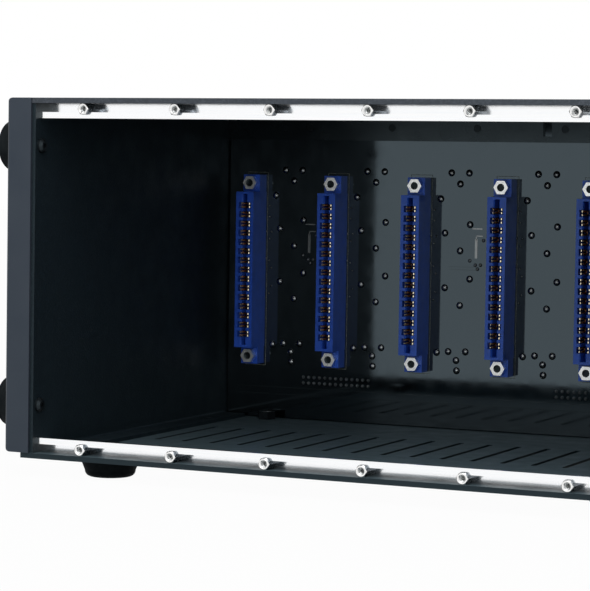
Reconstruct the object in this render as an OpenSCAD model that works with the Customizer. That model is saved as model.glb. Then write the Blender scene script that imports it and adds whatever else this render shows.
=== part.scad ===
// Desktop card cage for narrow plug-in modules.
// X runs across the slots, Y from the open front to the back, Z up.
// The origin lies on the surface that the feet stand on, under the middle of the case
// and its side feet together.

/* [Slots] */
// How many modules stand side by side
slots = 6; // [2:1:10]
// Width of one module's front panel
panel_w = 38.1; // [32:0.1:45]
// Room between two neighbouring front panels
panel_gap = 0.2; // [0.1:0.05:1]
// Room between the end panels and the inner walls
end_gap = 0.65; // [0.3:0.05:3]
// Height between the two holes that fix a module
hole_span = 127.7; // [110:0.1:160]
// Depth from a fixed module's panel to the face of its connector
card_reach = 150.5; // [120:0.5:200]

/* [Case] */
// Thickness of the top, bottom and rear panels
sheet_t = 2; // [1.5:0.1:3]
// Thickness of the side cheeks
cheek_t = 10.5; // [8:0.5:16]
// Thickness of the folded inner walls and of the board bars
fold_t = 1.5; // [1:0.1:2]
// Outer radius of every fold
fold_r = 2.4; // [2.1:0.1:3]
// Radius on the long outer edges of the cheeks
cheek_r = 2.5; // [1:0.1:4]
// Radius on the upright outer edges of the cheeks
cheek_end_r = 1.5; // [0.5:0.1:3]
// How far the panels' front edges sit behind the cheeks' front faces
panel_set_back = 0.5; // [0:0.1:1]
// How far the bottom panel stops short of the cheeks' outer faces
bottom_inset = 6.9; // [5:0.1:8]
// How far the cheeks stand out behind the rear panel
rear_guard = 5; // [4.2:0.1:8]
// Room between the backplane board and the rear panel
rear_gap = 20; // [16:0.5:40]
// Metal left between a foot's screw and the edge of the inner wall's flange
flange_edge = 1.2; // [1:0.1:3]
// Width of the inner walls' rear flanges
rear_flange_w = 7; // [6.5:0.1:7]

/* [Vents] */
// Width of one vent slot
vent_w = 2.2; // [1:0.1:3]
// Length of one vent slot
vent_l = 54.8; // [30:0.1:80]
// Distance from one vent slot to the next
vent_pitch = 12.2; // [8:0.1:20]
// Distance from the front of the case to the middle of the vent row
vent_y = 93.5; // [80:0.5:105]
// Plain strip kept between the vent row and each inner wall
vent_margin = 16; // [15:0.5:40]

/* [Front rails] */
// Height of the lip that edges the bay
lip_h = 2.3; // [1.5:0.1:3]
// Thickness of the lip
lip_t = 1.6; // [1:0.1:2.5]
// How far the lip stands in front of the web
lip_reach = 6; // [4:0.1:7]
// Thickness of the web behind the standoffs
web_t = 4; // [3.6:0.1:6]
// Distance from a fixing hole's centre to the edge of the lip
rail_drop = 3.5; // [3.2:0.1:5]
// Depth of the groove behind the lip
groove_h = 1.1; // [0.3:0.1:1.4]

/* [Standoffs] */
// Width of the hexagon across its flats
hex_af = 4; // [3.6:0.1:4.6]
// Length of the hexagon
standoff_l = 8; // [7:0.5:12]
// Bore for the module's fixing screw
thread_d = 2.1; // [1.8:0.1:2.2]
// Depth of that bore
thread_l = 6.5; // [4:0.5:6.5]
// How far the standoffs' faces sit behind the cheeks' front faces
standoff_set_back = 1.5; // [0:0.1:3]
// Diameter of the stud that holds a standoff in its rail
stud_d = 2.5; // [2.3:0.1:2.6]

/* [Backplane] */
// Thickness of the backplane board
board_t = 1.6; // [1:0.1:3]
// Room under the board's lower edge
board_lift = 0.45; // [0.3:0.05:1]
// Height of the bars that hold the board
bar_h = 11; // [9:0.5:14]
// Width of the window in the upper bar
bar_window_w = 3.8; // [2:0.1:6]
// Height of that window
bar_window_h = 6; // [3:0.1:6]
// Room between the lower bar and the link headers
header_clear = 3.81; // [1:0.01:6]
// Length of the link headers' pins
header_pin_l = 6; // [4:0.5:10]

/* [Edge connectors] */
// How many contacts stand in each of the two rows
positions = 15; // [8:1:18]
// Distance from one contact to the next
contact_pitch = 3.962; // [3.5:0.001:4.2]
// Width of the housing
connector_w = 8.2; // [7:0.1:10]
// Height of the housing off the board
connector_h = 13; // [11:0.5:16]
// Height of its two ears off the board
ear_h = 6.3; // [4:0.1:9]
// Width of the slot that takes the card's edge
card_slot_w = 1.8; // [1.6:0.1:2]
// Depth of that slot
card_slot_l = 9; // [7:0.1:9.5]
// Chamfer along both sides of the slot's mouth
lead_in = 0.5; // [0.2:0.05:0.8]
// Wall left at the slot's two ends
slot_wall = 1; // [0.8:0.1:3]
// Length of the housing beyond its last contacts' places
body_end = 3.8; // [3:0.1:6]
// Distance from the housing's ends to the screws in its ears
ear_screw_out = 3.9; // [3.5:0.1:5]
// Length of the ears outside the centres of those screws
ear_end = 3.5; // [3:0.1:5]
// How far the connectors stand to the side of their slot's middle
connector_shift = -5.8; // [-8:0.1:8]
// How far the connectors' middle lies below that of the fixing holes
connector_drop = 1.2; // [0:0.1:5]
// Width of a contact strip
contact_w = 2.2; // [1.6:0.1:2.4]
// Thickness of a contact strip
contact_t = 0.4; // [0.2:0.05:0.5]
// Length of the two prongs that a contact strip ends in
prong_l = 6; // [3:0.1:6.5]
// Gap between the two prongs
prong_gap = 0.7; // [0.4:0.05:1]

/* [Rear sockets] */
// Width of a socket's flange
socket_w = 26; // [25.5:0.5:26]
// Height of a socket's flange
socket_h = 31; // [30:0.5:34]
// Thickness of a socket's flange
socket_t = 2.2; // [1.5:0.1:3]
// Diameter of a socket's barrel
barrel_d = 23.6; // [22:0.1:23.6]
// Bore that takes the shell of a plug
plug_d = 19.2; // [18:0.1:20]
// Depth of that bore
plug_l = 12; // [8:0.5:13]
// Room between a socket's barrel and the board
barrel_gap = 4; // [3:0.5:5]
// Diameter of the insert inside an input socket
insert_d = 15.2; // [13:0.1:15.4]
// Diameter of a contact pin
pin_d = 2.4; // [1.5:0.1:2.5]
// Distance from a socket's axis to its pins
pin_r = 4.45; // [4.2:0.05:5]
// Height of the input sockets above the middle of the bay
input_z = 38; // [36:0.5:40]
// Room between the link headers and the barrels of the output sockets
barrel_clear = 2.26; // [1:0.01:6]

/* [Feet] */
// Diameter of a rubber foot where it is fixed
foot_d = 23.5; // [18:0.5:24]
// Diameter of its sole, before the edge is rounded
sole_d = 19.4; // [16:0.1:24]
// Height of a foot
foot_h = 7.4; // [5:0.1:12]
// Radius on the edge of the sole
sole_r = 2.4; // [0.5:0.1:3]
// Distance from the left cheek's outer face to the axes of the left feet
foot_in = 34.2; // [34:0.1:40]
// Room from the rims of the right feet to the edge of the bottom panel
foot_edge = 0.1; // [0:0.1:1]
// Distance from the front of the case to the front feet's axes
front_foot_y = 21.5; // [20:0.1:40]
// Distance from the board to the rear feet's axes
rear_foot_gap = 5; // [4.5:0.1:10]
// Distance from the cheeks' front faces to the side feet's axes
side_foot_y = 14; // [13.5:0.1:30]
// Distance between the upper and the lower fixings of a cheek
cheek_fix_span = 98; // [70:1:100]

/* [Screws] */
// Diameter of the case screws
screw_d = 3; // [2.5:0.1:3]
// Diameter of the screws in the rails
rail_screw_d = 2.5; // [2:0.1:2.5]
// Diameter of the feet's screws
foot_screw_d = 4; // [3:0.1:4]
// Distance from the rear panel's top and bottom edges to its outer screws
rear_screw_in = 12; // [8:0.5:25]
// Clearance all round a screw, a stud or a standoff
fit = 0.1; // [0.05:0.01:0.15]

/* [Hidden] */
$fn = 64;
cut = 1;                            // how far a cutter runs past a face
bite = 0.01;                        // how far two forms of one solid run into each other
slot_pitch = panel_w + panel_gap;
bay_w = slots * slot_pitch + 2 * end_gap;
bay_top = hole_span / 2 + hex_af / 2 + fit;      // half the height between the panels
wall_x = bay_w / 2;                              // inner face of the right inner wall
cheek_x = wall_x + fold_t;                       // inner face of the right cheek
case_x = cheek_x + cheek_t;                      // outer face of the right cheek
rail_edge = hole_span / 2 - rail_drop;           // height of the lips' edges

standoff_y = standoff_set_back;
web_y = standoff_y + standoff_l;
lip_y = web_y - lip_reach;
web_mid_y = web_y + web_t / 2;
connector_y = standoff_y + card_reach;
board_y = connector_y + connector_h;
board_back = board_y + board_t;
rear_y = board_back + rear_gap;                  // inner face of the rear panel
panel_end = rear_y + sheet_t;
case_d = panel_end + rear_guard;

panel_l = panel_end - panel_set_back;
board_top = bay_top - fold_r - board_lift;
board_bottom = -bay_top + board_lift;
bar_screw_z = bay_top - bar_h / 2;

cheek_mid_z = sheet_t / 2;
cheek_h = 2 * bay_top + sheet_t;
cheek_fix_z = [for (s = [-1, 1]) cheek_mid_z + s * cheek_fix_span / 2];
wall_front = 1;                                  // the inner walls start just behind the cheeks' faces
flange_front = web_y + web_t + 2;
flange_end = board_y - fold_t - 2 * fit;

contact_z = [for (i = [0 : positions - 1]) (i - (positions - 1) / 2) * contact_pitch];
body_l = positions * contact_pitch + 2 * body_end;    // length of a housing without its ears
ear_screw_z = body_l / 2 + ear_screw_out;
ear_w = connector_w - 0.4;
cavity_x = 2.75;                                 // reach of a contact's cavity from the card's middle
cavity_w = contact_w + 0.5;
// the spring's path, as distance from the card's middle and depth below the housing's face
spring = [[1.9, 0.8], [1.7, 1.7], [0.85, 4.3], [1.6, 7.6], [2.35, 9.4], [2.35, connector_h]];

nut_af = 5.5;
nut_h = 2.4;
foot_nut_af = 7;
foot_nut_h = 3.2;
head_d = 1.85 * screw_d;
head_h = 0.6 * screw_d;
foot_recess_d = 2.6 * foot_screw_d;
foot_web = 3;                                    // rubber left under a foot screw's head
left_foot_x = foot_in - case_x;
right_foot_x = case_x - bottom_inset - foot_edge - foot_d / 2;
foot_ys = [front_foot_y, board_y - rear_foot_gap];
flange_w = wall_x - right_foot_x + foot_screw_d / 2 + fit + flange_edge;
side_foot_ys = [side_foot_y, case_d - side_foot_y];
wall_screw_y = 5;
wall_screw_ys = [wall_screw_y, rear_y - 3 * wall_screw_y];
blind_l = 0.65 * cheek_t;                        // depth of the tapped holes in a cheek
flange_screw_x = wall_x - flange_w / 2;
flange_screw_ys = [for (k = [1, 3, 5]) flange_front + (flange_end - flange_front) * k / 6];
rear_screw_x = wall_x - rear_flange_w / 2;
rear_screw_z = bay_top - rear_screw_in;
socket_screw = [9.5, 12];                        // from a socket's axis to its two screws
header_pitch = 2.54;
header_pin_w = 0.64;
header_cols = 13;
header_z = -bay_top + bar_h + header_clear + header_pitch;
output_z = header_z + header_pitch + barrel_clear + barrel_d / 2;
power_z = (input_z + output_z) / 2;
header_slots = [2, slots - 1];

black = [0.07, 0.07, 0.08];
slate = [0.27, 0.30, 0.33];
silver = [0.82, 0.83, 0.85];
rubber = [0.05, 0.05, 0.05];
blue = [0.14, 0.30, 0.68];
gold = [0.80, 0.62, 0.28];
board_black = [0.05, 0.07, 0.08];

function slot_x(i) = (i - (slots + 1) / 2) * slot_pitch;
function gap_xs() = [for (i = [1 : slots - 1]) (i - slots / 2) * slot_pitch];
function connector_x(i) = slot_x(i) + connector_shift;

// ---------- placing ----------

// everything is drawn with its front at y = 0 and the middle of the bay at z = 0
module in_case() {
    translate([foot_h / 2, -case_d / 2, foot_h + sheet_t + bay_top]) children();
}

module along_y(y, l) { // a profile drawn in X and Z, run back from y by l
    translate([0, y + l, 0]) rotate([90, 0, 0]) linear_extrude(l) children();
}

module along_x(l) { // a profile drawn in Y and Z, run across the case
    translate([-l / 2, 0, 0]) rotate([90, 0, 90]) linear_extrude(l) children();
}

module facing_back(x, y, z) { // what is drawn up Z points to the back
    translate([x, y, z]) rotate([-90, 0, 0]) children();
}

module facing_front(x, y, z) {
    translate([x, y, z]) rotate([90, 0, 0]) children();
}

module facing_right(x, y, z) {
    translate([x, y, z]) rotate([0, 90, 0]) children();
}

module facing_left(x, y, z) {
    translate([x, y, z]) rotate([0, -90, 0]) children();
}

// ---------- profiles and hardware ----------

// a rectangle from [0, 0] with its two far corners, along +X, rounded
module rounded_far_side(w, h, r) {
    square([w - r, h]);
    translate([0, r]) square([w, h - 2 * r]);
    for (y = [r, h - r]) translate([w - r, y]) circle(r);
}

module rounded_plate(w, h, r) {
    square([w - 2 * r, h], center = true);
    square([w, h - 2 * r], center = true);
    for (x = [-1, 1], y = [-1, 1])
        translate([x * (w / 2 - r), y * (h / 2 - r)]) circle(r);
}

// a folded angle with its outer corner at [0, 0] and its legs along +X and +Y
module angle_profile(a, b) {
    translate([fold_r, 0]) square([a - fold_r, fold_t]);
    translate([0, fold_r]) square([fold_t, b - fold_r]);
    intersection() {
        square(fold_r);
        translate([fold_r, fold_r]) difference() {
            circle(fold_r);
            circle(fold_r - fold_t);
        }
    }
}

module hex_prism(af, h) {
    cylinder(d = af / cos(30), h = h, $fn = 6);
}

// a pan head screw: its head stands on z = 0 and its shank runs down
module pan_screw(d, l) {
    difference() {
        union() {
            cylinder(d = 1.85 * d, h = 0.3 * d);
            translate([0, 0, 0.3 * d]) cylinder(d1 = 1.85 * d, d2 = 1.3 * d, h = 0.3 * d);
        }
        translate([0, 0, 0.25 * d]) hex_prism(0.6 * d, d);
    }
    translate([0, 0, -l]) cylinder(d = d, h = l + bite);
}

// a countersunk screw: its head is flush with z = 0
module flush_screw(d, l) {
    difference() {
        union() {
            translate([0, 0, -0.5 * d]) cylinder(d1 = d, d2 = 2 * d, h = 0.5 * d);
            translate([0, 0, -l]) cylinder(d = d, h = l - 0.4 * d);
        }
        translate([0, 0, -0.3 * d]) hex_prism(0.6 * d, d);
    }
}

// the hole for a flush screw, through a panel whose outer face is z = 0
module flush_hole(d) {
    translate([0, 0, -sheet_t - cut]) cylinder(d = d + 2 * fit, h = sheet_t + 2 * cut);
    translate([0, 0, -0.5 * d]) cylinder(d1 = d + 2 * fit, d2 = 2 * d + 2 * fit, h = 0.5 * d);
    cylinder(d = 2 * d + 2 * fit, h = cut);
}

module drill(d, l) { // a hole l deep below z = 0, open above it
    translate([0, 0, -l]) cylinder(d = d, h = l + cut);
}

// ---------- case ----------

// the right cheek; the left one is its mirror image
module cheek() {
    intersection() {
        along_y(0, case_d) translate([cheek_x, -bay_top])
            rounded_far_side(cheek_t, cheek_h, cheek_r);
        translate([cheek_x, 0, -bay_top - cut]) linear_extrude(cheek_h + 2 * cut)
            rounded_far_side(cheek_t, case_d, cheek_end_r);
    }
}

module wall_screw_holes() { // blind holes for the screws that come through the inner wall
    for (y = wall_screw_ys, z = cheek_fix_z)
        facing_left(cheek_x, y, z) drill(screw_d + 2 * fit, blind_l);
}

module left_cheek() {
    color(slate) in_case() difference() {
        mirror([1, 0, 0]) difference() {
            cheek();
            wall_screw_holes();
        }
        for (y = side_foot_ys, z = cheek_fix_z)
            facing_left(-case_x, y, z) drill(foot_screw_d + 2 * fit, blind_l);
    }
}

module right_cheek() {
    color(slate) in_case() difference() {
        cheek();
        wall_screw_holes();
    }
}

// an inner wall for the right side: one sheet with a fold along the top, the bottom and the back
module wall_sheet() {
    folded_l = flange_end - flange_front;
    difference() {
        union() {
            translate([wall_x, wall_front, -bay_top])
                cube([fold_t, flange_front - wall_front, 2 * bay_top]);
            along_y(flange_front, folded_l)
                for (s = [0, 1]) mirror([0, s]) translate([cheek_x, -bay_top])
                    mirror([1, 0]) angle_profile(flange_w + fold_t, bay_top);
            translate([cheek_x, rear_y, -bay_top]) linear_extrude(2 * bay_top)
                rotate(180) angle_profile(rear_flange_w + fold_t, rear_y - flange_end);
        }
        for (y = flange_screw_ys, s = [-1, 1]) translate([flange_screw_x, y, s * bay_top])
            cylinder(d = screw_d + 2 * fit, h = 3 * fold_t, center = true);
        for (z = [-1, 0, 1])
            facing_back(rear_screw_x, rear_y, z * rear_screw_z)
                drill(screw_d + 2 * fit, fold_t + cut);
    }
}

module left_inner_wall() {
    color(black) in_case() difference() {
        rotate([0, 180, 0]) wall_sheet();
        for (y = wall_screw_ys, z = cheek_fix_z)
            facing_right(-wall_x, y, z) drill(screw_d + 2 * fit, fold_t + cut);
    }
}

module right_inner_wall() { // its lower flange also holds the right feet
    color(black) in_case() difference() {
        wall_sheet();
        for (y = foot_ys) translate([right_foot_x, y, -bay_top])
            cylinder(d = foot_screw_d + 2 * fit, h = 3 * fold_t, center = true);
        for (y = wall_screw_ys, z = cheek_fix_z)
            facing_left(wall_x, y, z) drill(screw_d + 2 * fit, fold_t + cut);
    }
}

module vent_slots() {
    reach = floor((wall_x - vent_margin) / vent_pitch);
    for (i = [-reach : reach]) translate([i * vent_pitch, vent_y]) {
        square([vent_w, vent_l - vent_w], center = true);
        for (s = [-1, 1]) translate([0, s * (vent_l - vent_w) / 2]) circle(d = vent_w);
    }
}

// a flat panel with its outer face on z = 0, so that the top and bottom panels share one form
module slotted_panel(half_w) {
    difference() {
        translate([0, 0, -sheet_t]) linear_extrude(sheet_t) difference() {
            translate([-half_w, panel_set_back]) square([2 * half_w, panel_l]);
            vent_slots();
        }
        for (x = gap_xs()) translate([x, web_mid_y, 0]) flush_hole(rail_screw_d);
        for (s = [-1, 1], y = flange_screw_ys)
            translate([s * flange_screw_x, y, 0]) flush_hole(screw_d);
    }
}

module top_panel() {
    color(black) in_case() translate([0, 0, bay_top + sheet_t]) slotted_panel(cheek_x);
}

module bottom_panel() {
    color(black) in_case() difference() {
        translate([0, 0, -bay_top - sheet_t]) mirror([0, 0, 1])
            slotted_panel(case_x - bottom_inset);
        for (x = [left_foot_x, right_foot_x], y = foot_ys) translate([x, y, -bay_top])
            drill(foot_screw_d + 2 * fit, sheet_t + cut);
    }
}

module rear_panel() {
    color(black) in_case() difference() {
        along_y(rear_y, sheet_t) square([2 * cheek_x, 2 * bay_top], center = true);
        for (place = socket_places()) facing_back(place[0], rear_y + sheet_t, place[1]) {
            drill(barrel_d + 2 * fit, sheet_t + cut);
            socket_screw_places() drill(screw_d + 2 * fit, sheet_t + cut);
        }
        for (s = [-1, 1], z = [-1, 0, 1])
            facing_back(s * rear_screw_x, rear_y + sheet_t, z * rear_screw_z)
                drill(screw_d + 2 * fit, sheet_t + cut);
    }
}

// ---------- front rails ----------

// the section of the bottom rail, in Y and Z, standing on the panel
module rail_profile() {
    recess_h = bay_top - rail_edge - lip_h;
    rail_h = recess_h + lip_h;
    polygon([[web_y, 0], [web_y, recess_h], [lip_y, recess_h], [lip_y, rail_h],
             [lip_y + lip_t, rail_h], [lip_y + lip_t, rail_h - groove_h],
             [web_y + web_t, rail_h - groove_h], [web_y + web_t, 0]]);
}

module bottom_rail() {
    difference() {
        translate([0, 0, -bay_top]) along_x(bay_w) rail_profile();
        for (i = [1 : slots]) translate([slot_x(i), 0, -hole_span / 2]) {
            facing_front(0, web_y, 0) hex_prism(hex_af + 2 * fit, web_y - lip_y + cut);
            facing_front(0, web_y, 0) drill(stud_d + 2 * fit, web_t + cut);
        }
        for (x = gap_xs()) translate([x, web_mid_y, -bay_top - cut])
            cylinder(d = rail_screw_d + 2 * fit, h = bay_top);
    }
}

module bottom_front_rail() {
    color(silver) in_case() bottom_rail();
}

module top_front_rail() {
    color(silver) in_case() mirror([0, 0, 1]) bottom_rail();
}

// a hexagonal standoff with a turned front edge, a threaded bore and a stud at the back
module standoff() {
    round_d = hex_af - 0.2;
    corner_l = 0.45;
    difference() {
        union() {
            intersection() {
                rotate([90, 0, 0]) translate([0, 0, -standoff_l]) hex_prism(hex_af, standoff_l);
                facing_back(0, 0, 0) union() {
                    cylinder(d1 = round_d, d2 = hex_af / cos(30) + 0.1, h = corner_l);
                    translate([0, 0, corner_l])
                        cylinder(d = hex_af / cos(30) + 0.1, h = standoff_l - corner_l);
                }
            }
            facing_back(0, standoff_l - cut, 0) cylinder(d = stud_d, h = cut + web_t - 0.5);
        }
        facing_front(0, 0, 0) drill(thread_d, thread_l);
        facing_back(0, -cut, 0)
            cylinder(d1 = thread_d + 0.8 + 2 * cut, d2 = thread_d, h = 0.4 + cut);
    }
}

module standoff_row(z) {
    for (i = [1 : slots]) translate([slot_x(i), standoff_y, z]) standoff();
}

module top_standoffs() {
    color(silver) in_case() standoff_row(hole_span / 2);
}

module bottom_standoffs() {
    color(silver) in_case() standoff_row(-hole_span / 2);
}

// ---------- backplane ----------

module backplane_board() {
    color(board_black) in_case() difference() {
        translate([-wall_x + end_gap, board_y, board_bottom])
            cube([2 * (wall_x - end_gap), board_t, board_top - board_bottom]);
        for (i = [1 : slots], s = [-1, 1])
            facing_front(connector_x(i), board_y, -connector_drop + s * ear_screw_z)
                drill(screw_d + 2 * fit, board_t + cut);
        for (x = gap_xs())
            facing_front(x, board_y, bar_screw_z) drill(screw_d + 2 * fit, board_t + cut);
    }
}

module board_top_bar() { // hangs from the top panel in front of the board
    window_x = slot_x(slots - 2) + 0.3 * slot_pitch;
    color(black) in_case() difference() {
        translate([0, board_y - fold_t, bay_top]) along_x(bay_w)
            mirror([0, 1]) angle_profile(bar_h, bar_h);
        for (x = gap_xs())
            facing_front(x, board_y - fold_t, bar_screw_z) drill(screw_d + 2 * fit, fold_t + cut);
        translate([window_x, board_y - fold_t / 2, bay_top - fold_r - bar_window_h / 2])
            cube([bar_window_w, fold_t + 2 * cut, bar_window_h], center = true);
    }
}

module board_bottom_bar() { // stands on the bottom panel, and the board leans against it
    color(black) in_case()
        translate([0, board_back, -bay_top]) along_x(bay_w) angle_profile(bar_h, bar_h);
}

// ---------- edge connectors ----------

// a housing with its face on y = 0 and its back on the board
module connector_housing() {
    slot_h = body_l - 2 * slot_wall;
    mouth = card_slot_w / 2 + lead_in + cut;
    difference() {
        union() {
            along_y(0, connector_h) square([connector_w, body_l], center = true);
            along_y(connector_h - ear_h, ear_h)
                square([ear_w, 2 * (ear_screw_z + ear_end)], center = true);
        }
        along_y(-cut, card_slot_l + cut) square([card_slot_w, slot_h], center = true);
        linear_extrude(slot_h, center = true) // the chamfer at the slot's mouth
            polygon([[-mouth, -cut], [mouth, -cut], [0, card_slot_w / 2 + lead_in]]);
        for (z = contact_z) {
            translate([-cavity_x, -cut, z - cavity_w / 2])
                cube([2 * cavity_x, card_slot_l + cut, cavity_w]);
            for (s = [-1, 1]) translate([s * spring[5][0], connector_h / 2, z])
                cube([0.9, connector_h + 2 * cut, cavity_w], center = true);
        }
        for (s = [-1, 1]) facing_front(0, connector_h - ear_h, s * ear_screw_z)
            drill(screw_d + 2 * fit, ear_h + cut);
    }
}

module edge_connector(i) {
    color(blue) in_case() translate([connector_x(i), connector_y, -connector_drop])
        connector_housing();
}

// the outline of a strip that follows a path, half its thickness to each side
function unit(v) = v / norm(v);
function side_of(p, k) = let (
    a = p[max(k - 1, 0)], b = p[min(k + 1, len(p) - 1)], d = unit(b - a)) [-d[1], d[0]];
function strip(p, t) = concat(
    [for (k = [0 : len(p) - 1]) p[k] + side_of(p, k) * t / 2],
    [for (k = [len(p) - 1 : -1 : 0]) p[k] - side_of(p, k) * t / 2]);

module contact_spring() { // its free end is split, so that each half presses by itself
    difference() {
        translate([0, 0, -contact_w / 2]) linear_extrude(contact_w)
            polygon(strip(spring, contact_t));
        translate([0, -cut, -prong_gap / 2]) cube([cavity_x, prong_l + cut, prong_gap]);
    }
}

module connector_contacts(i) {
    color(gold) in_case() translate([connector_x(i), connector_y, -connector_drop])
        for (z = contact_z, s = [0, 1])
            translate([0, 0, z]) mirror([s, 0, 0]) contact_spring();
}

module connector_screws() { // from behind the board, through the ears
    shank_l = board_t + ear_h + nut_h / 2;
    color(silver) in_case() for (i = [1 : slots], s = [-1, 1])
        facing_back(connector_x(i), board_back, -connector_drop + s * ear_screw_z)
            pan_screw(screw_d, shank_l);
}

module connector_nuts() {
    color(silver) in_case() for (i = [1 : slots], s = [-1, 1])
        facing_front(connector_x(i), board_y - ear_h, -connector_drop + s * ear_screw_z)
            difference() {
                hex_prism(nut_af, nut_h);
                translate([0, 0, -cut]) cylinder(d = screw_d + 2 * fit, h = nut_h + 2 * cut);
            }
}

// two rows of pins behind the board, for the cable that links two cages
module link_header(k) {
    x = connector_x(header_slots[k - 1]);
    body_t = header_pitch;
    color(black) in_case() translate([x, board_back + body_t / 2, header_z])
        cube([header_cols * header_pitch, body_t, 2 * header_pitch], center = true);
    color(gold) in_case()
        for (c = [0 : header_cols - 1], s = [-1, 1])
            translate([x + (c - (header_cols - 1) / 2) * header_pitch,
                       board_back + body_t + header_pin_l / 2, header_z + s * header_pitch / 2])
                cube([header_pin_w, header_pin_l + 2 * bite, header_pin_w], center = true);
}

// ---------- rear sockets ----------

function socket_places() = concat(
    [for (i = [1 : slots]) [slot_x(i), input_z]],
    [for (i = [1 : slots]) [slot_x(i), output_z]],
    [[0, power_z]]);

module socket_screw_places() {
    for (s = [-1, 1]) translate([s * socket_screw[0], s * socket_screw[1], 0]) children();
}

// a flange and a barrel that runs towards the board, with their axis up Z and z = 0 on the panel
module socket_shell() {
    barrel_l = sheet_t + rear_gap - barrel_gap;
    difference() {
        union() {
            linear_extrude(socket_t) rounded_plate(socket_w, socket_h, 2);
            translate([0, 0, -barrel_l]) cylinder(d = barrel_d, h = barrel_l + socket_t / 2);
        }
        translate([0, 0, socket_t]) socket_screw_places()
            drill(screw_d + 2 * fit, socket_t + cut);
    }
}

module pin_places() {
    for (a = [90, 210, 330]) rotate(a) translate([pin_r, 0, 0]) children();
}

module input_socket(i) { // a ring shaped bore round an insert with three contact holes
    color(black) in_case() facing_back(slot_x(i), rear_y + sheet_t, input_z) difference() {
        socket_shell();
        translate([0, 0, socket_t - plug_l]) difference() {
            cylinder(d = plug_d, h = plug_l + cut);
            translate([0, 0, -cut]) cylinder(d = insert_d, h = plug_l + 0.6);
        }
        translate([0, 0, socket_t]) pin_places() drill(pin_d + 4 * fit, plug_l);
    }
}

module pin_socket(x, z) { // an open bore with three pins standing in it
    color(black) in_case() facing_back(x, rear_y + sheet_t, z) {
        difference() {
            socket_shell();
            translate([0, 0, socket_t]) drill(plug_d, plug_l);
        }
        translate([0, 0, socket_t - plug_l - cut]) pin_places()
            cylinder(d = pin_d, h = plug_l - 1);
    }
}

module output_socket(i) {
    pin_socket(slot_x(i), output_z);
}

module power_inlet() {
    pin_socket(0, power_z);
}

// ---------- feet ----------

// a rubber foot with its fixed face on z = 0 and its sole up Z
module foot_form() {
    mid_h = foot_h - sole_r;
    difference() {
        rotate_extrude() {
            polygon([[0, 0], [foot_d / 2, 0], [sole_d / 2, mid_h], [0, mid_h]]);
            translate([0, mid_h]) square([sole_d / 2 - sole_r, sole_r]);
            intersection() {
                translate([0, mid_h]) square([sole_d / 2, sole_r]);
                translate([sole_d / 2 - sole_r, mid_h]) circle(sole_r);
            }
        }
        translate([0, 0, foot_web]) cylinder(d = foot_recess_d, h = foot_h);
        translate([0, 0, -cut]) cylinder(d = foot_screw_d + 2 * fit, h = foot_h);
    }
}

function foot_place(k) = [k % 2 == 1 ? left_foot_x : right_foot_x, foot_ys[k > 2 ? 1 : 0]];
function side_foot_place(k) = [side_foot_ys[k > 2 ? 1 : 0], cheek_fix_z[k % 2]];

module bottom_foot(k) {
    color(rubber) in_case()
        translate([foot_place(k)[0], foot_place(k)[1], -bay_top - sheet_t])
            mirror([0, 0, 1]) foot_form();
}

module side_foot(k) {
    color(rubber) in_case()
        facing_left(-case_x, side_foot_place(k)[0], side_foot_place(k)[1]) foot_form();
}

module foot_screws() { // the left feet's go into nuts, the right feet's into the wall's flange
    color(silver) in_case() {
        for (k = [1 : 4]) translate([foot_place(k)[0], foot_place(k)[1],
                                     -bay_top - sheet_t - foot_web])
            mirror([0, 0, 1]) pan_screw(foot_screw_d,
                                        foot_web + sheet_t + (k % 2 == 1 ? foot_nut_h : fold_t));
        for (k = [1 : 4])
            facing_left(-case_x - foot_web, side_foot_place(k)[0], side_foot_place(k)[1])
                pan_screw(foot_screw_d, foot_web + blind_l - 1);
    }
}

module foot_nuts() {
    color(silver) in_case() for (y = foot_ys)
        translate([left_foot_x, y, -bay_top]) difference() {
            hex_prism(foot_nut_af, foot_nut_h);
            translate([0, 0, -cut])
                cylinder(d = foot_screw_d + 2 * fit, h = foot_nut_h + 2 * cut);
        }
}

// ---------- other screws ----------

module wall_screws() { // hold the cheeks to the inner walls, with their heads in the bay
    color(black) in_case() for (y = wall_screw_ys, z = cheek_fix_z) {
        facing_left(wall_x, y, z) pan_screw(screw_d, fold_t + blind_l - 1);
        facing_right(-wall_x, y, z) pan_screw(screw_d, fold_t + blind_l - 1);
    }
}

module both_panels() { // what is drawn on z = 0 goes on the outside of the top and bottom panels
    for (s = [0, 1]) mirror([0, 0, s]) translate([0, 0, bay_top + sheet_t]) children();
}

module rail_screws() {
    color(black) in_case() both_panels() for (x = gap_xs())
        translate([x, web_mid_y, 0]) flush_screw(rail_screw_d, sheet_t + 3);
}

module flange_screws() {
    color(black) in_case() both_panels() for (s = [-1, 1], y = flange_screw_ys)
        translate([s * flange_screw_x, y, 0]) flush_screw(screw_d, sheet_t + fold_t);
}

module rear_panel_screws() {
    color(black) in_case() for (s = [-1, 1], z = [-1, 0, 1])
        facing_back(s * rear_screw_x, rear_y + sheet_t, z * rear_screw_z)
            pan_screw(screw_d, sheet_t + fold_t);
}

module board_screws() { // from behind the board, into the upper bar
    color(black) in_case() for (x = gap_xs())
        facing_back(x, board_back, bar_screw_z) pan_screw(screw_d, board_t + fold_t);
}

module socket_screws() {
    color(black) in_case() for (place = socket_places())
        facing_back(place[0], rear_y + sheet_t + socket_t, place[1])
            socket_screw_places() pan_screw(screw_d, socket_t + sheet_t);
}

// ---------- nodes ----------

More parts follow.
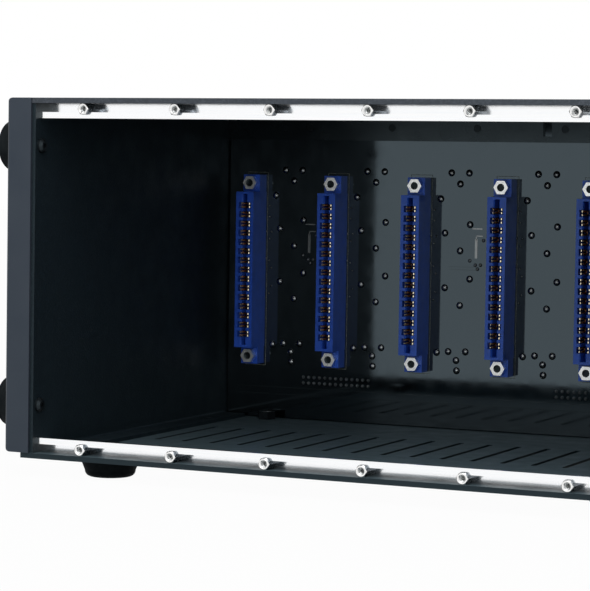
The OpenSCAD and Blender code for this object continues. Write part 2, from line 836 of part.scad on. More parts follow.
left_cheek();
right_cheek();
left_inner_wall();
right_inner_wall();
top_panel();
bottom_panel();
rear_panel();
top_front_rail();
bottom_front_rail();
top_standoffs();
bottom_standoffs();
backplane_board();
board_top_bar();
board_bottom_bar();
for (i = [1 : slots]) {
    edge_connector(i);
    connector_contacts(i);
    input_socket(i);
    output_socket(i);
}
connector_screws();
connector_nuts();
for (k = [1, 2]) link_header(k);
power_inlet();
for (k = [1 : 4]) {
    bottom_foot(k);
    side_foot(k);
}
foot_screws();
foot_nuts();
wall_screws();
rail_screws();
flange_screws();
rear_panel_screws();
board_screws();
socket_screws();
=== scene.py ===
# %% [markdown]
# # A desktop card cage
# The cage is a black sheet metal box between two thick slate grey cheeks. Its front is open, with a
# bright rail along the top and the bottom edge. Six edge connectors stand on a glossy black board at
# the back. The metalwork, the board, the connectors and the sockets come ready made as the fixed
# frame. This lesson gives every part its finish, and adds the fine things that the frame leaves out:
# solder, printed lines, tracks, links and threads.

# %% Load the frame
import math

import bmesh
import bpy
from mathutils import Matrix, Vector


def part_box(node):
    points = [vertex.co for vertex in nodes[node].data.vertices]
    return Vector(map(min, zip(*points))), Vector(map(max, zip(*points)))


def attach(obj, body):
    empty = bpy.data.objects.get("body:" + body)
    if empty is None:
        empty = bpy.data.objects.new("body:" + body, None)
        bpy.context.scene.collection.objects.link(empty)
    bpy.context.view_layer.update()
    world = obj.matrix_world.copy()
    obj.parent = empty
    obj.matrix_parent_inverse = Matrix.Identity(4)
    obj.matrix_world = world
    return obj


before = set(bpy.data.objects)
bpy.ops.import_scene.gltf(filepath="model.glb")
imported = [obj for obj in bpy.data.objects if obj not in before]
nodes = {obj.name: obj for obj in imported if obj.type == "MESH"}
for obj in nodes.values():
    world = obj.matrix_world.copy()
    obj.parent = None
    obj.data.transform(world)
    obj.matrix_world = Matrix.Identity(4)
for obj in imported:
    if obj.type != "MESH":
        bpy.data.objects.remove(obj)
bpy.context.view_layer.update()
scene = bpy.context.scene
MM = 0.001
SLOTS = range(1, 7)
print("frame:", len(nodes), "nodes")

# %% [markdown]
# ## Where things are
# What is added sits on something that the frame already has, so it is placed from the frame's
# boxes. Only the spots on the board, such as the solder, are given as distances from a slot's
# middle. The connectors stand a little to the left of that middle, because a module's card lies on
# the left side of the module.

# %% Read the main places
board_low, board_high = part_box("backplane_board")
top_low, top_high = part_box("top_standoffs")
bottom_low, bottom_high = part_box("bottom_standoffs")
FACE_Y = board_low.y
MID_Z = (top_low.z + bottom_high.z + top_high.z + bottom_low.z) / 4
SLOT_SHIFT = 5.8 * MM


def middle(node):
    low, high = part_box(node)
    return (low + high) / 2


connector_x = [middle(f"edge_connector_{i}").x for i in SLOTS]
slot_x = [x + SLOT_SHIFT for x in connector_x]
print("slots at", [round(x / MM, 2) for x in slot_x], "mm; board face at", round(FACE_Y / MM, 2))

# %% [markdown]
# ## Helpers for materials
# Painted metal, moulded plastic and solder all need the same few things: a colour that isn't quite
# even, a gloss that varies, and a fine relief. These helpers wire them up. Patterns read Object
# coordinates, which are metres here, so a size in millimetres is turned round into a scale.

# %% Material helpers
def new_material(name, colour, roughness, metallic=0.0, specular=0.5, tint=(1, 1, 1)):
    material = bpy.data.materials.new(name)
    material.use_nodes = True
    shader = material.node_tree.nodes["Principled BSDF"]
    shader.inputs["Base Color"].default_value = (*colour, 1)
    shader.inputs["Roughness"].default_value = roughness
    shader.inputs["Metallic"].default_value = metallic
    shader.inputs["Specular IOR Level"].default_value = specular
    shader.inputs["Specular Tint"].default_value = (*tint, 1)
    return material


def add(material, kind, **inputs):
    node = material.node_tree.nodes.new(kind)
    for key, value in inputs.items():
        node.inputs[key.replace("_", " ")].default_value = value
    return node


def join(material, source, target):
    material.node_tree.links.new(source, target)


def noise(material, size_mm, detail=3.0, stretch=(1, 1, 1)):
    """A noise whose grain is about size_mm wide, stretched along the axes."""
    place = add(material, "ShaderNodeTexCoord")
    mapping = add(material, "ShaderNodeMapping")
    mapping.inputs["Scale"].default_value = [1 / (size_mm * MM * s) for s in stretch]
    texture = add(material, "ShaderNodeTexNoise", Scale=1.0, Detail=detail)
    join(material, place.outputs["Object"], mapping.inputs["Vector"])
    join(material, mapping.outputs["Vector"], texture.inputs["Vector"])
    return texture.outputs["Fac"]


def spread(material, factor, low, high, start=0.3, end=0.7):
    """Turns a noise into a number between low and high."""
    node = add(material, "ShaderNodeMapRange")
    node.inputs["From Min"].default_value = start
    node.inputs["From Max"].default_value = end
    node.inputs["To Min"].default_value = low
    node.inputs["To Max"].default_value = high
    join(material, factor, node.inputs["Value"])
    return node.outputs["Result"]


def blend_colour(material, factor, first, second):
    node = material.node_tree.nodes.new("ShaderNodeMix")
    node.data_type = "RGBA"
    node.inputs["A"].default_value = (*first, 1)
    node.inputs["B"].default_value = (*second, 1)
    join(material, factor, node.inputs["Factor"])
    return node.outputs["Result"]


def shader_of(material):
    return material.node_tree.nodes["Principled BSDF"]


def relief(material, height, depth_mm, strength=1.0):
    bump = add(material, "ShaderNodeBump", Strength=strength, Distance=depth_mm * MM)
    join(material, height, bump.inputs["Height"])
    shader = shader_of(material)
    join(material, bump.outputs["Normal"], shader.inputs["Normal"])
    return bump


def axes_of(material, kind):
    """The X, Y and Z of the object's own coordinates or normals."""
    place = add(material, "ShaderNodeTexCoord")
    axes = add(material, "ShaderNodeSeparateXYZ")
    join(material, place.outputs[kind], axes.inputs["Vector"])
    return axes


def set_colour(material, source):
    join(material, source, shader_of(material).inputs["Base Color"])


def set_roughness(material, source):
    join(material, source, shader_of(material).inputs["Roughness"])


print("material helpers ready")

# %% [markdown]
# ## Slate grey cheeks
# The cheeks are thick plates with a satin powder coat. Powder melts into a very fine orange peel, so
# the coat gets a small even relief, a slow drift in gloss, and hardly any change of colour.

# %% Slate coat
COOL = (0.70, 0.90, 1.0)
slate = new_material("slate_coat", (0.026, 0.031, 0.042), 0.42, specular=0.35, tint=COOL)
set_colour(slate, blend_colour(slate, spread(slate, noise(slate, 18), 0, 1),
                               (0.023, 0.028, 0.039), (0.029, 0.034, 0.045)))
set_roughness(slate, spread(slate, noise(slate, 6), 0.38, 0.48))
relief(slate, noise(slate, 0.45, 4), 0.02, 0.5)
print("made", slate.name)

# %% [markdown]
# ## Black textured coat
# The sheets inside the cage wear a black coat with a coarser, sandy texture that catches light as
# tiny specks. A noise with a sharp cut gives the grains, and a second, slower one varies the gloss.
# One function makes all four sheets' coats, because they differ in depth of colour and in gloss. On
# the floor, faces that look up are painted a lighter grey than its edges, as painted light for the
# light and sheen that fall on the floor's top.

# %% Textured black coat
def textured_black(name, colour, roughness, specular, grain_mm, depth_mm, strength):
    material = new_material(name, colour, roughness, specular=specular, tint=COOL)
    grains = noise(material, grain_mm, 5)
    patches = noise(material, 9, 2)
    lighter = [2.2 * c for c in colour]
    set_colour(material, blend_colour(material, spread(material, grains, 0, 1, 0.45, 0.75),
                                      colour, lighter))
    set_roughness(material, spread(material, patches, roughness - 0.06, roughness + 0.06))
    relief(material, grains, depth_mm, strength)
    return material


sheet_black = textured_black("textured_black_coat", (0.0050, 0.0085, 0.0110), 0.5, 0.3, 0.7, 0.12, 0.7)
bar_black = textured_black("bar_black_coat", (0.001, 0.002, 0.003), 0.24, 0.6, 0.6, 0.02, 0.5)
floor_black = textured_black("floor_black_coat", (0.012, 0.019, 0.022), 0.42, 0.2, 0.5, 0.03, 0.35)
# Painted light: faces that look up get a lighter grey for the light and sheen on the floor's top.
upward = axes_of(floor_black, "Normal").outputs["Z"]
set_colour(floor_black, blend_colour(floor_black, spread(floor_black, upward, 0, 1, 0.2, 0.9),
                                     (0.013, 0.020, 0.024), (0.045, 0.066, 0.076)))
panel_black = textured_black("panel_black_coat", (0.028, 0.030, 0.036), 0.42, 0.4, 0.5, 0.03, 0.5)
print("made", sheet_black.name, bar_black.name, floor_black.name, panel_black.name)

# %% [markdown]
# ## Bright metal
# The rails are anodised aluminium, brushed along their length: the grain is long in X and very short
# across. Nuts are plated and smooth, and their colour is slightly warmer.

# %% Rails and nuts
rail_metal = new_material("brushed_aluminium", (0.97, 0.98, 1.0), 0.14, metallic=1.0)
brushing = noise(rail_metal, 0.25, 4, stretch=(120, 1, 1))
set_roughness(rail_metal, spread(rail_metal, brushing, 0.10, 0.18))
set_colour(rail_metal, blend_colour(rail_metal, spread(rail_metal, brushing, 0, 1),
                                    (0.94, 0.96, 0.98), (1.0, 1.0, 1.0)))
relief(rail_metal, brushing, 0.002, 0.4)

nickel = new_material("bright_nickel", (0.88, 0.90, 0.89), 0.34, metallic=1.0)
set_roughness(nickel, spread(nickel, noise(nickel, 1.2), 0.28, 0.42))
relief(nickel, noise(nickel, 0.3, 4), 0.004, 0.4)

print("made", rail_metal.name, nickel.name)

# %% [markdown]
# The standoffs are bright on their turned ends, and their six sides are darkened as painted shade, for
# the dark recess that they mirror. The object's own normals tell the two apart: an end looks to the
# front, which is against Y.

# %% Standoffs
standoff_metal = new_material("nickel_with_painted_shade_sides", (0.80, 0.80, 0.78), 0.22, metallic=1.0)
backward = axes_of(standoff_metal, "Normal").outputs["Y"]
# Painted shade: the six sides get a dark colour for the dark recess they mirror; the ends keep bright
# nickel.
set_colour(standoff_metal, blend_colour(standoff_metal,
                                        spread(standoff_metal, backward, 0, 1, -0.8, -0.3),
                                        (0.90, 0.90, 0.89), (0.13, 0.15, 0.17)))
set_roughness(standoff_metal, spread(standoff_metal, noise(standoff_metal, 1.0), 0.18, 0.32))
relief(standoff_metal, noise(standoff_metal, 0.3, 4), 0.004, 0.4)

print("made", standoff_metal.name)

# %% [markdown]
# Solder is tin, soft and shiny. The contacts are pale gold at their tips and painted dark brown
# further down in the slot, as painted shade for the slot's depth, so their colour changes with the
# depth. Screws are blackened steel.

# %% Solder, contacts and screws
solder = new_material("solder", (0.22, 0.235, 0.24), 0.32, metallic=1.0)
set_roughness(solder, spread(solder, noise(solder, 0.5), 0.24, 0.42))
relief(solder, noise(solder, 0.4), 0.02, 0.5)

BRIGHT_TO, PAINTED_SHADE_FROM = 56.6 * MM, 58.2 * MM
gold = new_material("gold_plate", (0.90, 0.76, 0.48), 0.24, metallic=0.8)
contact_depth = axes_of(gold, "Object").outputs["Y"]
# Painted shade: the colour goes from pale gold at the tips to dark brown deeper in the slot.
set_colour(gold, blend_colour(gold, spread(gold, contact_depth, 0, 1, BRIGHT_TO, PAINTED_SHADE_FROM),
                              (1.0, 0.90, 0.66), (0.30, 0.13, 0.06)))
set_roughness(gold, spread(gold, noise(gold, 0.6), 0.16, 0.30))

black_steel = new_material("blackened_steel", (0.004, 0.005, 0.006), 0.40, specular=0.3, tint=COOL)
set_roughness(black_steel, spread(black_steel, noise(black_steel, 0.8), 0.26, 0.42))
relief(black_steel, noise(black_steel, 0.25, 4), 0.01, 0.4)
print("made", solder.name, gold.name, black_steel.name)

# %% [markdown]
# ## Board, connectors, rubber and sockets
# The board is glossy black varnish over glass cloth, almost a mirror. The connector housings are
# moulded in a deep blue with faint clouds of lighter blue. Rubber is matt, with a dusty bloom.

# %% Board and plastics
board_varnish = new_material("board_varnish", (0.002, 0.003, 0.004), 0.06, specular=1.0,
                             tint=(0.68, 0.88, 1.0))
weave = noise(board_varnish, 0.8, 2)
set_colour(board_varnish, blend_colour(board_varnish,
                                       spread(board_varnish, noise(board_varnish, 14), 0, 1),
                                       (0.0004, 0.0007, 0.0009), (0.0010, 0.0015, 0.0020)))
set_roughness(board_varnish, spread(board_varnish, noise(board_varnish, 5), 0.045, 0.085))
relief(board_varnish, weave, 0.004, 0.15)

blue = new_material("blue_moulding", (0.022, 0.085, 0.50), 0.34, specular=0.5, tint=COOL)
set_colour(blue, blend_colour(blue, spread(blue, noise(blue, 4), 0, 1),
                              (0.018, 0.075, 0.45), (0.026, 0.098, 0.56)))
set_roughness(blue, spread(blue, noise(blue, 2), 0.28, 0.42))
relief(blue, noise(blue, 0.35, 4), 0.01, 0.4)

rubber = new_material("foot_rubber", (0.006, 0.007, 0.008), 0.75, specular=0.06, tint=COOL)
set_colour(rubber, blend_colour(rubber, spread(rubber, noise(rubber, 5), 0, 1),
                                (0.004, 0.005, 0.006), (0.009, 0.011, 0.012)))
set_roughness(rubber, spread(rubber, noise(rubber, 1.5), 0.70, 0.85))
relief(rubber, noise(rubber, 0.3, 4), 0.02, 0.5)

socket_black = new_material("socket_moulding", (0.008, 0.009, 0.011), 0.36, specular=0.4)
set_roughness(socket_black, spread(socket_black, noise(socket_black, 1), 0.30, 0.44))
relief(socket_black, noise(socket_black, 0.3, 4), 0.015, 0.4)

ink = new_material("pale_ink", (0.16, 0.17, 0.15), 0.55, specular=0.2)
set_colour(ink, blend_colour(ink, spread(ink, noise(ink, 0.6), 0, 1),
                             (0.07, 0.08, 0.07), (0.26, 0.28, 0.24)))

track = new_material("varnished_track", (0.006, 0.008, 0.009), 0.12, specular=0.8, tint=COOL)
set_roughness(track, spread(track, noise(track, 3), 0.08, 0.18))
relief(track, noise(track, 0.6), 0.004, 0.3)
print("made", board_varnish.name, blue.name, rubber.name, socket_black.name, ink.name, track.name)

# %% [markdown]
# ## Dress the metalwork
# Each finish goes to the nodes that wear it. The names follow the frame's own names, so a loop over
# their beginnings is enough.

# %% Give every node its finish
FINISHES = [
    (slate, ("left_cheek", "right_cheek")),
    (sheet_black, ("left_inner_wall", "right_inner_wall")),
    (bar_black, ("board_top_bar", "board_bottom_bar")),
    (floor_black, ("bottom_panel", "rear_panel")),
    (panel_black, ("top_panel",)),
    (rail_metal, ("top_front_rail", "bottom_front_rail")),
    (standoff_metal, ("top_standoffs", "bottom_standoffs")),
    (nickel, ("connector_nuts", "foot_screws")),
    (black_steel, ("connector_screws", "wall_screws", "rail_screws", "flange_screws",
                   "rear_panel_screws", "board_screws", "socket_screws", "foot_nuts")),
    (board_varnish, ("backplane_board",)),
    (blue, ("edge_connector_",)),
    (gold, ("connector_contacts_",)),
    (rubber, ("bottom_foot_", "side_foot_")),
    (socket_black, ("input_socket_", "output_socket_", "power_inlet", "link_header_")),
]
dressed = set()
for finish, starts in FINISHES:
    for name, node in nodes.items():
        if name.startswith(starts):
            for material_slot in node.material_slots:
                material_slot.material = finish
            dressed.add(name)
print("dressed", len(dressed), "of", len(nodes), "nodes")

# %% [markdown]
# ## Solder on the board
# Every part on the back of the board sends its legs through to the front, where each ends in a small
# cone of solder. There are over a hundred, all alike, so Geometry Nodes copy one lathed cone onto a
# cloud of points. The tree's inputs are the cone's sizes, in metres.

# %% A tree that sets a turned cone on every point
def scatter_tree(name, material, segments):
    """A tree that puts a small cone, its axis along -Y, on every vertex of the object."""
    tree = bpy.data.node_groups.new(name, "GeometryNodeTree")
    face = tree.interface
    face.new_socket("Geometry", in_out="INPUT", socket_type="NodeSocketGeometry")
    for label in ("Foot radius", "Tip radius", "Height"):
        face.new_socket(label, in_out="INPUT", socket_type="NodeSocketFloat")
    face.new_socket("Geometry", in_out="OUTPUT", socket_type="NodeSocketGeometry")
    make, link = tree.nodes.new, tree.links.new
    start, end = make("NodeGroupInput"), make("NodeGroupOutput")
    cone = make("GeometryNodeMeshCone")
    cone.inputs["Vertices"].default_value = segments
    cone.inputs["Side Segments"].default_value = 2
    turn = make("GeometryNodeTransform")
    turn.inputs["Rotation"].default_value = (math.radians(90), 0, 0)
    shade = make("GeometryNodeSetShadeSmooth")
    put = make("GeometryNodeInstanceOnPoints")
    real = make("GeometryNodeRealizeInstances")
    paint = make("GeometryNodeSetMaterial")
    paint.inputs["Material"].default_value = material
    link(start.outputs["Foot radius"], cone.inputs["Radius Bottom"])
    link(start.outputs["Tip radius"], cone.inputs["Radius Top"])
    link(start.outputs["Height"], cone.inputs["Depth"])
    link(cone.outputs["Mesh"], turn.inputs["Geometry"])
    link(turn.outputs["Geometry"], shade.inputs["Geometry"])
    link(start.outputs["Geometry"], put.inputs["Points"])
    link(shade.outputs["Geometry"], put.inputs["Instance"])
    link(put.outputs["Instances"], real.inputs["Geometry"])
    link(real.outputs["Geometry"], paint.inputs["Geometry"])
    link(paint.outputs["Geometry"], end.inputs["Geometry"])
    return tree


def run_tree(name, tree, points, sizes):
    """Runs a tree on a cloud of points and keeps the result as a plain mesh that rides the frame."""
    cloud = bpy.data.meshes.new(name + "_points")
    cloud.from_pydata([tuple(p) for p in points], [], [])
    holder = bpy.data.objects.new(name + "_holder", cloud)
    scene.collection.objects.link(holder)
    modifier = holder.modifiers.new("nodes", "NODES")
    modifier.node_group = tree
    sockets = {s.name: s.identifier for s in tree.interface.items_tree if s.in_out == "INPUT"}
    for label, value in sizes.items():
        modifier[sockets[label]] = value
    graph = bpy.context.evaluated_depsgraph_get()
    mesh = bpy.data.meshes.new_from_object(holder.evaluated_get(graph))
    bpy.data.objects.remove(holder)
    piece = bpy.data.objects.new(name, mesh)
    scene.collection.objects.link(piece)
    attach(piece, "root")
    print("made", name, "with", len(mesh.polygons), "faces at", len(points), "places")
    return piece


def on_board(x, dx_mm, z_mm, out_mm=0.0):
    """A point on the board's face, from a slot's middle and the height above the holes' middle."""
    return Vector((x + dx_mm * MM, FACE_Y - out_mm * MM, MID_Z + z_mm * MM))


print("tree helpers ready; the board's face is at", round(FACE_Y / MM, 2), "mm")

# %% [markdown]
# The legs come through in the same places beside every slot, because every slot has the same
# circuit behind it. The finest ones are plated holes, which show as small bright beads.

# %% Solder cones and beads
LEGS = [(7.5, 41.9), (15.4, 41.9), (11.5, 37.3), (2.9, 30.9), (16.2, 20.4), (5, 16.6),
        (11.9, 9.3), (16.4, -2.4), (5.3, -6.4), (12.2, -13.6), (2.2, -33.8), (7.4, -33.2),
        (15.1, -33), (11, -36.8), (11.3, -41.1)]
BEADS = [(0.1, 26.2), (0.1, 21.6), (-1.4, 15.2), (1.1, 15.1), (0.2, 12), (-1.3, 3.6),
         (0.1, 2.6), (1.1, -0.6), (1.2, -8.4), (0.1, -11.7)]
LEG = {"Foot radius": 1.55 * MM, "Tip radius": 0.5 * MM, "Height": 0.9 * MM}
BEAD = {"Foot radius": 0.42 * MM, "Tip radius": 0.16 * MM, "Height": 0.35 * MM}
EDGE_MM = 4.0
board_right = board_high.x - EDGE_MM * MM


def per_slot(places):
    spots = [on_board(x, dx, z) for x in slot_x for dx, z in places]
    return [p for p in spots if p.x < board_right]


cone_tree = scatter_tree("solder_cone", solder, 16)
bead_tree = scatter_tree("solder_bead", solder, 10)
run_tree("solder_joints", cone_tree, per_slot(LEGS), LEG)
run_tree("plated_holes", bead_tree, per_slot(BEADS), BEAD)

# %% [markdown]
# Two long headers for a ribbon cable sit on the back of the board. Their 26 legs each come through
# as two rows of beads, a tenth of an inch apart.

# %% Header legs
HEADER_SLOTS = (2, 5)
HEADER_PITCH = 2.54
HEADER_COLUMNS = 13
HEADER_Z = -48.6
HEADER_BEAD = {"Foot radius": 0.75 * MM, "Tip radius": 0.3 * MM, "Height": 0.9 * MM}
header_points = []
for slot in HEADER_SLOTS:
    for column in range(HEADER_COLUMNS):
        for side in (-0.5, 0.5):
            dx = (column - (HEADER_COLUMNS - 1) / 2) * HEADER_PITCH
            header_points.append(on_board(connector_x[slot - 1], dx,
                                          HEADER_Z + side * HEADER_PITCH))
run_tree("header_joints", bead_tree, header_points, HEADER_BEAD)

# %% [markdown]
# ## Printed lines and tracks
# A thin printed outline runs round every connector. Printing is a film, so each line is a flat
# strip that stands two hundredths of a millimetre off the board. The tracks under the varnish show
# as slightly raised black lines, made in the same way.

# %% Flat strips on the board
def strips(name, boxes, material, film_mm=0.03):
    """Thin flat bars on the board's face, each given as (left, bottom, right, top) in metres."""
    shape = bmesh.new()
    for left, bottom, right, top in boxes:
        size = Matrix.Diagonal((abs(right - left), film_mm * MM, abs(top - bottom), 1))
        spot = Vector(((left + right) / 2, FACE_Y - film_mm * MM / 2, (bottom + top) / 2))
        bmesh.ops.create_cube(shape, size=1, matrix=Matrix.Translation(spot) @ size)
    mesh = bpy.data.meshes.new(name)
    shape.to_mesh(mesh)
    shape.free()
    mesh.materials.append(material)
    piece = bpy.data.objects.new(name, mesh)
    scene.collection.objects.link(piece)
    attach(piece, "root")
    print("made", name, "with", len(boxes), "strips")
    return piece


def line(x0, z0, x1, z1, width_mm):
    """A level or upright line from one point to another, as a box."""
    half = width_mm * MM / 2
    return (min(x0, x1) - half, min(z0, z1) - half, max(x0, x1) + half, max(z0, z1) + half)


OUTLINE_HALF = 4.8 * MM
OUTLINE_TOP, OUTLINE_BOTTOM = MID_Z + 40.8 * MM, MID_Z - 43.0 * MM
INK_LINE = 0.2
OUTLINE_FILM = 0.02
outline = []
for x in connector_x:
    left, right = x - OUTLINE_HALF, x + OUTLINE_HALF
    outline += [line(left, OUTLINE_BOTTOM, left, OUTLINE_TOP, INK_LINE),
                line(right, OUTLINE_BOTTOM, right, OUTLINE_TOP, INK_LINE),
                line(left, OUTLINE_TOP, right, OUTLINE_TOP, INK_LINE),
                line(left, OUTLINE_BOTTOM, right, OUTLINE_BOTTOM, INK_LINE)]
strips("printed_outlines", outline, ink, OUTLINE_FILM)

# %% [markdown]
# Two bus tracks run the whole width of the board below the connectors, with a gap beside every slot.

# %% Bus tracks
TRACK_WIDTH = 0.5
TRACK_GAP = 3.0 * MM
GAP_FROM_SLOT = 2.5 * MM
TRACK_HEIGHTS = (-52.3, -55.3)
tracks = []
for z_mm in TRACK_HEIGHTS:
    ends = [board_low.x + EDGE_MM * MM]
    for x in slot_x:
        gap = x + GAP_FROM_SLOT
        ends += [gap - TRACK_GAP / 2, gap + TRACK_GAP / 2]
    ends.append(board_right)
    for start, stop in zip(ends[::2], ends[1::2]):
        if stop - start > TRACK_GAP:
            z = MID_Z + z_mm * MM
            tracks.append(line(start, z, stop, z, TRACK_WIDTH))
strips("bus_tracks", tracks, track, 0.03)

# %% [markdown]
# Beside every second slot a wide tinned link joins that slot to its neighbour. It is a short upright
# strip with thin leads at its top, solder joints around it, and two fine tracks that lead to it.

# %% Links between the slots
LINK_SLOTS = (2, 4, 6)
LINK_X = -19.2
LINK_PARTS = [(0, 13.9, 0, 6.9, 1.1), (0, 15.6, 0, 14.2, 0.4), (0, 15.7, 2.6, 15.7, 0.4),
              (-1.6, 18.7, 2.4, 18.7, 0.5)]
LINK_JOINTS = [(-2.8, 5.3), (-0.3, 3.5), (2.0, 3.6), (0.7, 1.9), (3.2, 13.9)]
LINK_TRACKS = [(-12, 2.6, -1, 2.6, 0.3), (-12, 1.4, 0, 1.4, 0.3)]
LINK_JOINT = {"Foot radius": 0.8 * MM, "Tip radius": 0.3 * MM, "Height": 0.6 * MM}
link_strips, link_points, link_tracks = [], [], []


def shifted(x, parts):
    """Lines given from a link's strip, in millimetres, as boxes on the board."""
    return [line(x + x0 * MM, MID_Z + z0 * MM, x + x1 * MM, MID_Z + z1 * MM, width)
            for x0, z0, x1, z1, width in parts]


for slot in LINK_SLOTS:
    x = slot_x[slot - 1] + LINK_X * MM
    link_strips += shifted(x, LINK_PARTS)
    link_tracks += shifted(x, LINK_TRACKS)
    link_points += [on_board(x, dx, z) for dx, z in LINK_JOINTS]
strips("slot_links", link_strips, solder, 0.15)
strips("link_tracks", link_tracks, track, 0.03)
run_tree("link_joints", bead_tree, link_points, LINK_JOINT)

# %% [markdown]
# ## Threads in the standoffs
# A module is held by a screw in each standoff, so their bores are threaded. One spring-like coil is
# drawn by a tree from a spiral and a small three sided profile, and copied to the twelve bores.

# %% A tree for the thread
SPIRAL_STEPS = 18
RIDGE_SIDES = 3


def thread_tree(name, material):
    """A tree that puts a threaded coil, its axis along Y, on every vertex of the object."""
    tree = bpy.data.node_groups.new(name, "GeometryNodeTree")
    face = tree.interface
    face.new_socket("Geometry", in_out="INPUT", socket_type="NodeSocketGeometry")
    for label in ("Bore radius", "Ridge", "Turns", "Length"):
        face.new_socket(label, in_out="INPUT", socket_type="NodeSocketFloat")
    face.new_socket("Geometry", in_out="OUTPUT", socket_type="NodeSocketGeometry")
    make, link = tree.nodes.new, tree.links.new
    start, end = make("NodeGroupInput"), make("NodeGroupOutput")
    spiral = make("GeometryNodeCurveSpiral")
    spiral.inputs["Resolution"].default_value = SPIRAL_STEPS
    ridge = make("GeometryNodeCurvePrimitiveCircle")
    ridge.inputs["Resolution"].default_value = RIDGE_SIDES
    sweep = make("GeometryNodeCurveToMesh")
    sweep.inputs["Fill Caps"].default_value = True
    turn = make("GeometryNodeTransform")
    turn.inputs["Rotation"].default_value = (math.radians(-90), 0, 0)
    put = make("GeometryNodeInstanceOnPoints")
    real = make("GeometryNodeRealizeInstances")
    paint = make("GeometryNodeSetMaterial")
    paint.inputs["Material"].default_value = material
    link(start.outputs["Bore radius"], spiral.inputs["Start Radius"])
    link(start.outputs["Bore radius"], spiral.inputs["End Radius"])
    link(start.outputs["Turns"], spiral.inputs["Rotations"])
    link(start.outputs["Length"], spiral.inputs["Height"])
    link(start.outputs["Ridge"], ridge.inputs["Radius"])
    link(spiral.outputs["Curve"], sweep.inputs["Curve"])
    link(ridge.outputs["Curve"], sweep.inputs["Profile Curve"])
    link(sweep.outputs["Mesh"], turn.inputs["Geometry"])
    link(start.outputs["Geometry"], put.inputs["Points"])
    link(turn.outputs["Geometry"], put.inputs["Instance"])
    link(put.outputs["Instances"], real.inputs["Geometry"])
    link(real.outputs["Geometry"], paint.inputs["Geometry"])
    link(paint.outputs["Geometry"], end.inputs["Geometry"])
    return tree


THREAD = {"Bore radius": 1.0 * MM, "Ridge": 0.14 * MM, "Turns": 10.0, "Length": 4.5 * MM}
THREAD_START = 0.6 * MM
thread_points = []
for low, high in ((top_low, top_high), (bottom_low, bottom_high)):
    for x in slot_x:
        thread_points.append(Vector((x, low.y + THREAD_START, (low.z + high.z) / 2)))
run_tree("standoff_threads", thread_tree("thread", nickel), thread_points, THREAD)

# %% [markdown]
# ## Floor and surround
# The cage stands on a plain white floor in an even white surround, which is what the rails and the
# board mirror. More light on the cage would bleach it, so the white comes from Light Path instead:
# the floor and the surround glow only for rays from the camera, from mirrors and through glass. The
# glow fades under the case, where a shadow lies.

# %% Helpers for the glow
WHITE = (1, 1, 1, 1)
FLOOR_GLOW = 0.97
SHADE_HALF_WIDTH, SHADE_HALF_DEPTH, SHADE_MIDDLE_Y = 0.11, 0.065, 0.025
FADE_START = 0.7
SURROUND_COLOUR, SURROUND_STRENGTH = (0.95, 0.98, 1.0, 1), 0.54


def seen_directly(material_or_world):
    """A socket that is 1 for rays from the camera, from mirrors and through glass."""
    path = add(material_or_world, "ShaderNodeLightPath")
    total = path.outputs["Is Camera Ray"]
    for name in ("Is Glossy Ray", "Is Transmission Ray"):
        node = add(material_or_world, "ShaderNodeMath")
        node.operation = "MAXIMUM"
        join(material_or_world, total, node.inputs[0])
        join(material_or_world, path.outputs[name], node.inputs[1])
        total = node.outputs[0]
    return total


def within(material, source, middle_value, reach):
    """A socket that is 1 near the middle value and fades to 0 at reach from it."""
    away = add(material, "ShaderNodeMath")
    away.operation = "SUBTRACT"
    join(material, source, away.inputs[0])
    away.inputs[1].default_value = middle_value
    size = add(material, "ShaderNodeMath")
    size.operation = "ABSOLUTE"
    join(material, away.outputs[0], size.inputs[0])
    return spread(material, size.outputs[0], 1, 0, FADE_START * reach, reach)


def product(material, first, second):
    node = add(material, "ShaderNodeMath")
    node.operation = "MULTIPLY"
    join(material, first, node.inputs[0])
    join(material, second, node.inputs[1])
    return node.outputs[0]


print("glow helpers ready")

# %% The floor's paint
floor_paint = new_material("floor_white", (0.45, 0.46, 0.48), 0.9, specular=0.1)
spot = axes_of(floor_paint, "Object")
under_case = product(floor_paint, within(floor_paint, spot.outputs["X"], 0.0, SHADE_HALF_WIDTH),
                     within(floor_paint, spot.outputs["Y"], SHADE_MIDDLE_Y, SHADE_HALF_DEPTH))
glow_share = spread(floor_paint, under_case, FLOOR_GLOW, 0.0, 0.0, 1.0)
glow = add(floor_paint, "ShaderNodeEmission", Color=WHITE, Strength=1.0)
floor_mix = add(floor_paint, "ShaderNodeMixShader")
join(floor_paint, product(floor_paint, seen_directly(floor_paint), glow_share),
     floor_mix.inputs["Fac"])
join(floor_paint, shader_of(floor_paint).outputs["BSDF"], floor_mix.inputs[1])
join(floor_paint, glow.outputs["Emission"], floor_mix.inputs[2])
join(floor_paint, floor_mix.outputs["Shader"],
     floor_paint.node_tree.nodes["Material Output"].inputs["Surface"])

print("made", floor_paint.name)

# %% The floor and the surround
FLOOR_HALF = 4.0
floor_mesh = bpy.data.meshes.new("floor")
floor_mesh.from_pydata([(-FLOOR_HALF, -FLOOR_HALF, 0), (FLOOR_HALF, -FLOOR_HALF, 0),
                        (FLOOR_HALF, FLOOR_HALF, 0), (-FLOOR_HALF, FLOOR_HALF, 0)],
                       [], [(0, 1, 2, 3)])
floor_mesh.materials.append(floor_paint)
floor = bpy.data.objects.new("floor", floor_mesh)
scene.collection.objects.link(floor)

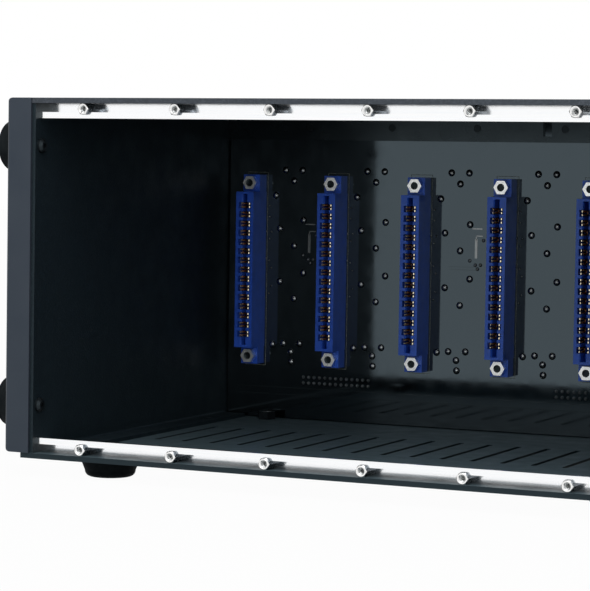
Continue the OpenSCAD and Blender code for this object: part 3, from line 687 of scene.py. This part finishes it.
world = bpy.data.worlds.new("surround")
world.use_nodes = True
scene.world = world
plain = world.node_tree.nodes["Background"]
plain.inputs["Color"].default_value = SURROUND_COLOUR
plain.inputs["Strength"].default_value = SURROUND_STRENGTH
bright = add(world, "ShaderNodeBackground", Color=WHITE, Strength=1.0)
world_mix = add(world, "ShaderNodeMixShader")
join(world, seen_directly(world), world_mix.inputs["Fac"])
join(world, plain.outputs["Background"], world_mix.inputs[1])
join(world, bright.outputs["Background"], world_mix.inputs[2])
join(world, world_mix.outputs["Shader"], world.node_tree.nodes["World Output"].inputs["Surface"])
print("floor and surround ready")

# %% [markdown]
# ## Lamps
# A large soft lamp above and in front lights the cage, and a wider one from the right fills it. Both
# are weak, because the surround already lights it evenly.

# %% Lamps
def lamp(name, place, target, size, watts):
    data = bpy.data.lights.new(name, "AREA")
    data.shape = "SQUARE"
    data.size = size
    data.energy = watts
    item = bpy.data.objects.new(name, data)
    item.location = place
    item.rotation_euler = (Vector(target) - Vector(place)).to_track_quat("-Z", "Y").to_euler()
    scene.collection.objects.link(item)
    return item


middle_point = (0, 0, MID_Z)
lamp("key", (0.05, -0.50, 0.62), middle_point, 0.5, 4)
lamp("fill", (0.80, -1.20, 0.40), middle_point, 0.8, 3)
print("lamps ready")

# %% [markdown]
# ## Camera
# The camera is a long lens, right of the cage and turned to look into its left corner. Its direction
# is built from three turns: yaw about the upright, pitch down, and a slight roll.

# %% Camera
CAMERA_PLACE = Vector((0.35842, -0.88003, 0.12034))
YAW, PITCH, ROLL = 0.43254, 0.05473, 0.01563
FOCAL_SHARE = 2418.5 / 591
SENSOR_MM = 36

level = Vector((-math.sin(YAW), math.cos(YAW), 0))
forward = level * math.cos(PITCH) - Vector((0, 0, 1)) * math.sin(PITCH)
up_flat = Vector((0, 0, 1)) * math.cos(PITCH) + level * math.sin(PITCH)
right_flat = Vector((math.cos(YAW), math.sin(YAW), 0))
right = right_flat * math.cos(ROLL) + up_flat * math.sin(ROLL)
up = up_flat * math.cos(ROLL) - right_flat * math.sin(ROLL)
camera_data = bpy.data.cameras.new("camera")
camera_data.sensor_width = SENSOR_MM
camera_data.lens = SENSOR_MM * FOCAL_SHARE
camera_data.clip_end = 20
camera = bpy.data.objects.new("camera", camera_data)
turn = Matrix((right, up, -forward)).transposed()
camera.matrix_world = Matrix.Translation(CAMERA_PLACE) @ turn.to_4x4()
scene.collection.objects.link(camera)
scene.camera = camera
scene.view_settings.view_transform = "Standard"
print("camera lens", round(camera_data.lens, 1), "mm")
